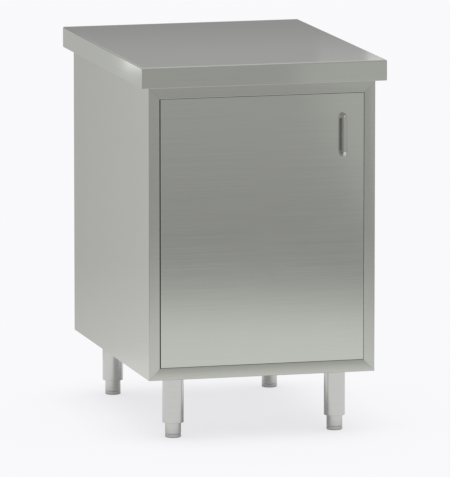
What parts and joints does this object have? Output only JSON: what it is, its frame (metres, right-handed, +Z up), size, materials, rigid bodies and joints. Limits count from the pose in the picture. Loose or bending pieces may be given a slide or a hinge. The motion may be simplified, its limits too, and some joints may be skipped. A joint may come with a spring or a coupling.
{
  "type": "condiment station cabinet",
  "caption": "Free-standing stainless steel cabinet with a flat overhanging worktop, a hinged door with a bow handle, a shelf inside and tube legs on levelling feet.",
  "frame": {"origin": "on the floor, under the middle of the worktop", "axes": "+Z up, +X to the right seen from the front, -Y out of the door"},
  "size_m": [0.6, 0.8, 0.904],
  "materials": {
    "sheet_steel": "satin brushed",
    "tube_steel": "fine brushed",
    "zinc_steel": "zinc plated",
    "board": "raw board",
    "honeycomb": "raw",
    "nylon": "moulded",
    "catch_plastic": "moulded",
    "rubber": "matt"
  },
  "bodies": {
    "cabinet": {"worktop_skin": "sheet_steel", "worktop_core": "board", "worktop_stiffener_front": "zinc_steel", "worktop_stiffener_rear": "zinc_steel", "worktop_bolt_front_left": "zinc_steel", "worktop_bolt_front_right": "zinc_steel", "worktop_bolt_rear_left": "zinc_steel", "worktop_bolt_rear_right": "zinc_steel", "left_side_panel": "sheet_steel", "right_side_panel": "sheet_steel", "bottom_panel": "sheet_steel", "top_front_rail": "sheet_steel", "top_rear_rail": "sheet_steel", "back_panel": "sheet_steel", "leg_bearer_left": "zinc_steel", "leg_bearer_right": "zinc_steel", "shelf": "sheet_steel", "shelf_upright_front_left": "sheet_steel", "shelf_upright_front_right": "sheet_steel", "shelf_upright_rear_left": "sheet_steel", "shelf_upright_rear_right": "sheet_steel", "shelf_clip_front_left": "zinc_steel", "shelf_clip_front_right": "zinc_steel", "shelf_clip_rear_left": "zinc_steel", "shelf_clip_rear_right": "zinc_steel", "upper_pivot_plate": "zinc_steel", "lower_pivot_plate": "zinc_steel", "upper_pivot_pin": "zinc_steel", "lower_pivot_pin": "zinc_steel", "magnet_catch": "catch_plastic", "door_bumper_upper": "rubber", "door_bumper_lower": "rubber", "leg_socket_front_left": "zinc_steel", "leg_socket_front_right": "zinc_steel", "leg_socket_rear_left": "zinc_steel", "leg_socket_rear_right": "zinc_steel", "leg_tube_front_left": "tube_steel", "leg_tube_front_right": "tube_steel", "leg_tube_rear_left": "tube_steel", "leg_tube_rear_right": "tube_steel", "foot_collar_front_left": "nylon", "foot_collar_front_right": "nylon", "foot_collar_rear_left": "nylon", "foot_collar_rear_right": "nylon"},
    "door": {"door_outer_skin": "sheet_steel", "door_inner_skin": "sheet_steel", "door_core": "honeycomb", "door_handle": "tube_steel", "handle_screw_upper": "zinc_steel", "handle_screw_lower": "zinc_steel", "upper_pivot_bush": "nylon", "lower_pivot_bush": "nylon", "strike_plate": "zinc_steel"},
    "front_left_foot": {"levelling_foot_front_left": "tube_steel"},
    "front_right_foot": {"levelling_foot_front_right": "tube_steel"},
    "rear_left_foot": {"levelling_foot_rear_left": "tube_steel"},
    "rear_right_foot": {"levelling_foot_rear_right": "tube_steel"}
  },
  "joints": [
    {"name": "door_swing", "type": "hinge", "parent": "cabinet", "child": "door", "pos_m": [-0.232, -0.3665, 0.5024], "axis": [0, 0, -1], "range_deg": [0, 110]},
    {"name": "front_left_foot_height", "type": "slide", "parent": "cabinet", "child": "front_left_foot", "axis": [0, 0, -1], "range_m": [-0.02, 0.025]},
    {"name": "front_right_foot_height", "type": "slide", "parent": "cabinet", "child": "front_right_foot", "axis": [0, 0, -1], "range_m": [-0.02, 0.025]},
    {"name": "rear_left_foot_height", "type": "slide", "parent": "cabinet", "child": "rear_left_foot", "axis": [0, 0, -1], "range_m": [-0.02, 0.025]},
    {"name": "rear_right_foot_height", "type": "slide", "parent": "cabinet", "child": "rear_right_foot", "axis": [0, 0, -1], "range_m": [-0.02, 0.025]}
  ]
}
